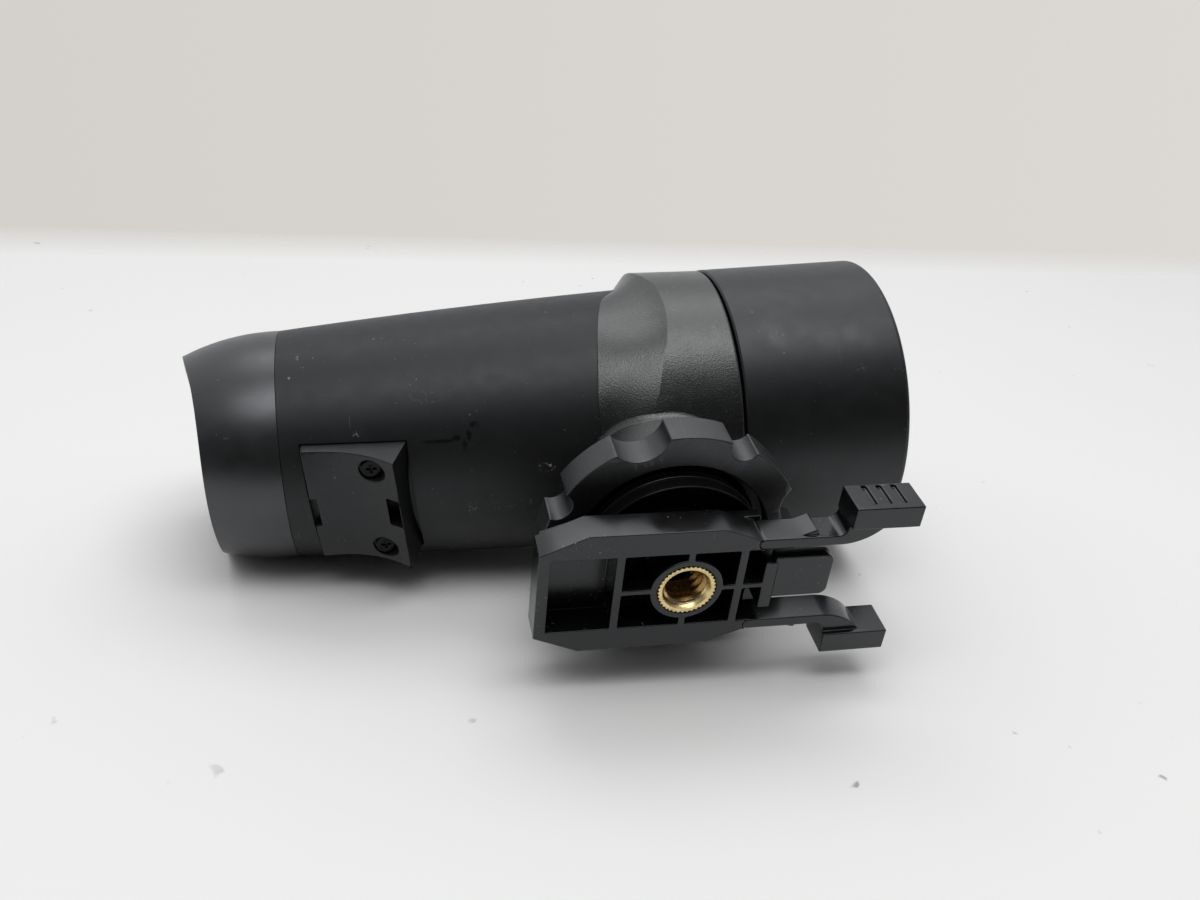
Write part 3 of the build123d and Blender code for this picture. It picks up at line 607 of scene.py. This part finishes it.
def neck():
    """Collet neck in four fingers."""
    verts, faces = [], []
    gap = NECK_SLOT / 2 / NECK_R
    for quarter in range(4):
        v, f = arc_bar(NECK_BORE, NECK_R, BOSS_TOP - 0.5, NECK_TOP, quarter * pi / 2 + gap,
                       (quarter + 1) * pi / 2 - gap, 24)
        faces += [tuple(len(verts) + i for i in face) for face in f]
        verts += v
    return mesh_object("collar_neck", verts, faces, collar_black, "housing", 30.0)


collar_band = collar_skin()
boss()
neck()
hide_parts("collar")


# ------------------------------------------------------------------ brass insert
def insert_point(rho, theta, depth):
    """Point of the insert, rho out from its axis and depth in from the shoe's face; in mm."""
    return Vector((rho * cos(theta) * MM, depth * MM, rho * sin(theta) * MM))


def threaded_insert():
    """Knurled brass insert with a coarse right-hand internal thread."""
    columns = 152
    thread_rows = 96
    thetas = [tau * j / columns for j in range(columns)]
    verts = []
    for rho, depth in INSERT_OUTSIDE:
        for j, theta in enumerate(thetas):
            tooth = abs(((j % 4) - 2) / 2.0)
            knurl = KNURL_DEPTH * (tooth - 0.5) if rho > 3.8 else 0.0
            verts.append(insert_point(min(rho + knurl - 0.09, INSERT_R), theta, depth))
    verts += [insert_point(rho, theta, depth) for rho, depth in INSERT_MOUTH for theta in thetas]
    for i in range(thread_rows):
        depth = 0.55 + (INSERT_DEPTH - 0.6) * i / (thread_rows - 1)
        start = smooth((depth - 0.5) / 0.5)
        for theta in thetas:
            phase = (depth / THREAD_PITCH + theta / tau) % 1.0
            wave = min(max(abs(phase - 0.5) * 2 * 1.35 - 0.1, 0.0), 1.0)
            rho = THREAD_MINOR + (THREAD_MAJOR - THREAD_MINOR) * wave
            verts.append(insert_point(THREAD_START_R + (rho - THREAD_START_R) * start, theta, depth))
    rows = len(INSERT_OUTSIDE) + len(INSERT_MOUTH) + thread_rows
    faces = grid_faces(rows, columns)
    last = (rows - 1) * columns
    for j in range(columns):
        k = (j + 1) % columns
        faces.append((last + j, last + k, k, j))
    return mesh_object("tripod_insert_threaded", verts, faces, brass, "shoe", 28.0)


insert = threaded_insert()
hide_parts("tripod_insert")


# ------------------------------------------------------------------ pieces with rounded edges
refined("shoe_tray", 0.14 * MM, 2, 32.0, ARM_JOINT)
refined("release_arm_upper", 0.17 * MM, 3, 32.0, ARM_JOINT)
refined("release_arm_lower", 0.17 * MM, 3, 32.0, ARM_JOINT)
refined("lock_ring", 0.17 * MM)
refined("swivel_hub", 0.06 * MM)
refined("wedge_plate", 0.14 * MM)
refined("wedge_plate_screws", 0.06 * MM)


# ------------------------------------------------------------------ floor
def on_floor(x, y):
    """Floor point over or under (x, y), in metres."""
    drop = (FLOOR_POINT - Vector((x, y, 0))).dot(FLOOR_NORMAL) / FLOOR_NORMAL.z
    return Vector((x, y, drop))


def floor():
    """Pale table top: it ends in a soft line behind the object, and fades at its near edge."""
    steps = [i / (FLOOR_GRID - 1) for i in range(FLOOR_GRID)]
    verts = [on_floor(FLOOR_X[0] + (FLOOR_X[1] - FLOOR_X[0]) * u, FLOOR_Y[0] + (FLOOR_Y[1] - FLOOR_Y[0]) * v)
             for v in steps for u in steps]
    mesh = bpy.data.meshes.new("floor")
    mesh.from_pydata([tuple(v) for v in verts], [], grid_faces(FLOOR_GRID, FLOOR_GRID, False))
    obj = bpy.data.objects.new("floor", mesh)
    bpy.context.scene.collection.objects.link(obj)
    m, tree, shader, where = new_material("floor")
    tone = noise(tree, where, 9.0, 3.0)
    dirt = specks(tree, where, 260.0, 0.73, 0.78)
    link(tree, shader,
         base=mix(tree, dirt, mix(tree, tone, (0.84, 0.83, 0.815, 1.0), (0.87, 0.86, 0.845, 1.0)), grey(0.4)),
         rough=0.55)
    shader.inputs["Specular IOR Level"].default_value = 0.25
    parts = node(tree, "ShaderNodeSeparateXYZ", Vector=where)
    line = math(tree, "ADD", math(tree, "MULTIPLY", parts.outputs["X"], -0.045), parts.outputs["Y"])
    far_edge = ramp(tree, line, 0.187, 0.213, 1.0, 0.0)
    near_edge = ramp(tree, parts.outputs["Y"], -0.114, -0.085, 0.0, 1.0)
    clear = tree.nodes.new("ShaderNodeBsdfTransparent")
    blend = node(tree, "ShaderNodeMixShader", Fac=math(tree, "MULTIPLY", far_edge, near_edge))
    tree.links.new(clear.outputs[0], blend.inputs[1])
    tree.links.new(shader.outputs[0], blend.inputs[2])
    tree.links.new(blend.outputs[0], tree.nodes["Material Output"].inputs["Surface"])
    obj.data.materials.append(m)


floor()

# ------------------------------------------------------------------ light
world = bpy.data.worlds.new("studio")
bpy.context.scene.world = world
world.use_nodes = True
sky_tree = world.node_tree
sky = sky_tree.nodes["Background"]
direction = sky_tree.nodes.new("ShaderNodeTexCoord").outputs["Generated"]
toward = node(sky_tree, "ShaderNodeSeparateXYZ", Vector=direction)
# The room is darker on the side that the shoe faces and lighter behind and above.
away = math(sky_tree, "ADD", math(sky_tree, "MULTIPLY", toward.outputs["Y"], 0.85),
            math(sky_tree, "MULTIPLY", toward.outputs["Z"], 0.35))
room = ramp(sky_tree, away, -0.40, 0.60, 0.02, 0.76)
# Only the camera sees the wall's colour, with painted light that makes it lighter to the right.
wall = ramp(sky_tree, toward.outputs["X"], -0.5, 0.7)
wall_seen = sky_tree.nodes.new("ShaderNodeLightPath").outputs["Is Camera Ray"]
lit = mix(sky_tree, room, (0.0, 0.0, 0.0, 1.0), (0.975, 0.99, 1.0, 1.0))
seen = mix(sky_tree, wall, (0.645, 0.625, 0.59, 1.0), (0.715, 0.69, 0.665, 1.0))
sky_tree.links.new(mix(sky_tree, wall_seen, lit, seen), sky.inputs["Color"])
sky.inputs["Strength"].default_value = 1.0


def area_light(name, location, target, size, power):
    """A slightly cool rectangular light; size is its width and height in metres."""
    data = bpy.data.lights.new(name, "AREA")
    data.shape = "RECTANGLE"
    data.size, data.size_y = size
    data.energy = power
    data.color = (0.975, 0.99, 1.0)
    obj = bpy.data.objects.new(name, data)
    obj.location = location
    obj.rotation_mode = "QUATERNION"
    obj.rotation_quaternion = (Vector(target) - Vector(location)).to_track_quat("-Z", "Y")
    bpy.context.scene.collection.objects.link(obj)


area_light("overhead", (0.04, -0.06, 0.62), (0.01, 0.03, 0.0), (0.66, 0.28), 1.95)
area_light("behind", (0.06, 0.42, 0.55), (0.0, 0.12, 0.0), (0.60, 0.30), 1.02)

# ------------------------------------------------------------------ camera
camera_data = bpy.data.cameras.new("camera")
camera_data.sensor_width = 36.0
camera_data.lens = 32.53
camera_data.clip_start = 0.005
camera = bpy.data.objects.new("camera", camera_data)
columns = (CAMERA_RIGHT, CAMERA_UP, CAMERA_BACK, CAMERA_PLACE)
camera.matrix_world = Matrix([[column[i] for column in columns] for i in range(3)] + [[0.0, 0.0, 0.0, 1.0]])
bpy.context.scene.collection.objects.link(camera)
bpy.context.scene.camera = camera
bpy.context.scene.view_settings.view_transform = "Standard"
